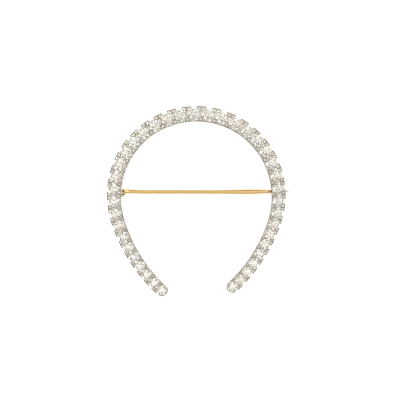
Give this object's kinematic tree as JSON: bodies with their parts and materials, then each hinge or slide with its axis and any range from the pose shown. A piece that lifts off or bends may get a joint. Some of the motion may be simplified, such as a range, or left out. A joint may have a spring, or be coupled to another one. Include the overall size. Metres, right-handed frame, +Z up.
{
  "type": "horseshoe brooch",
  "caption": "Open horseshoe brooch set with a graduated line of round faceted stones, with a hinged pin stem and a catch across the back.",
  "frame": {"origin": "middle of the floor space that the lying brooch covers, on the surface that it rests on", "axes": "+Y from the open ends towards the top of the bow, +X towards the point of the stem, +Z up, away from the surface, towards the stones"},
  "size_m": [0.0386, 0.0404, 0.005],
  "materials": {
    "white_metal": "polished platinum with bright-cut seats",
    "diamond": "polished facets, near colourless",
    "yellow_gold": "polished 18 carat gold"
  },
  "bodies": {
    "horseshoe": {"frame": "white_metal", "stone_01": "diamond", "stone_02": "diamond", "stone_03": "diamond", "stone_04": "diamond", "stone_05": "diamond", "stone_06": "diamond", "stone_07": "diamond", "stone_08": "diamond", "stone_09": "diamond", "stone_10": "diamond", "stone_11": "diamond", "stone_12": "diamond", "stone_13": "diamond", "stone_14": "diamond", "stone_15": "diamond", "stone_16": "diamond", "stone_17": "diamond", "stone_18": "diamond", "stone_19": "diamond", "stone_20": "diamond", "stone_21": "diamond", "stone_22": "diamond", "stone_23": "diamond", "stone_24": "diamond", "stone_25": "diamond", "stone_26": "diamond", "stone_27": "diamond", "stone_28": "diamond", "stone_29": "diamond", "stone_30": "diamond", "stone_31": "diamond", "stone_32": "diamond", "stone_33": "diamond", "stone_34": "diamond", "stone_35": "diamond", "stone_36": "diamond", "stone_37": "diamond", "stone_38": "diamond", "stone_39": "diamond", "hinge_rivet": "yellow_gold"},
    "stem": {"pin_stem": "yellow_gold"}
  },
  "joints": [
    {"name": "pin_hinge", "type": "hinge", "parent": "horseshoe", "child": "stem", "pos_m": [-0.01784, 0.00161, 0.00079], "axis": [-0.0164, 0.9962, -0.0859], "range_deg": [0, 75]}
  ]
}
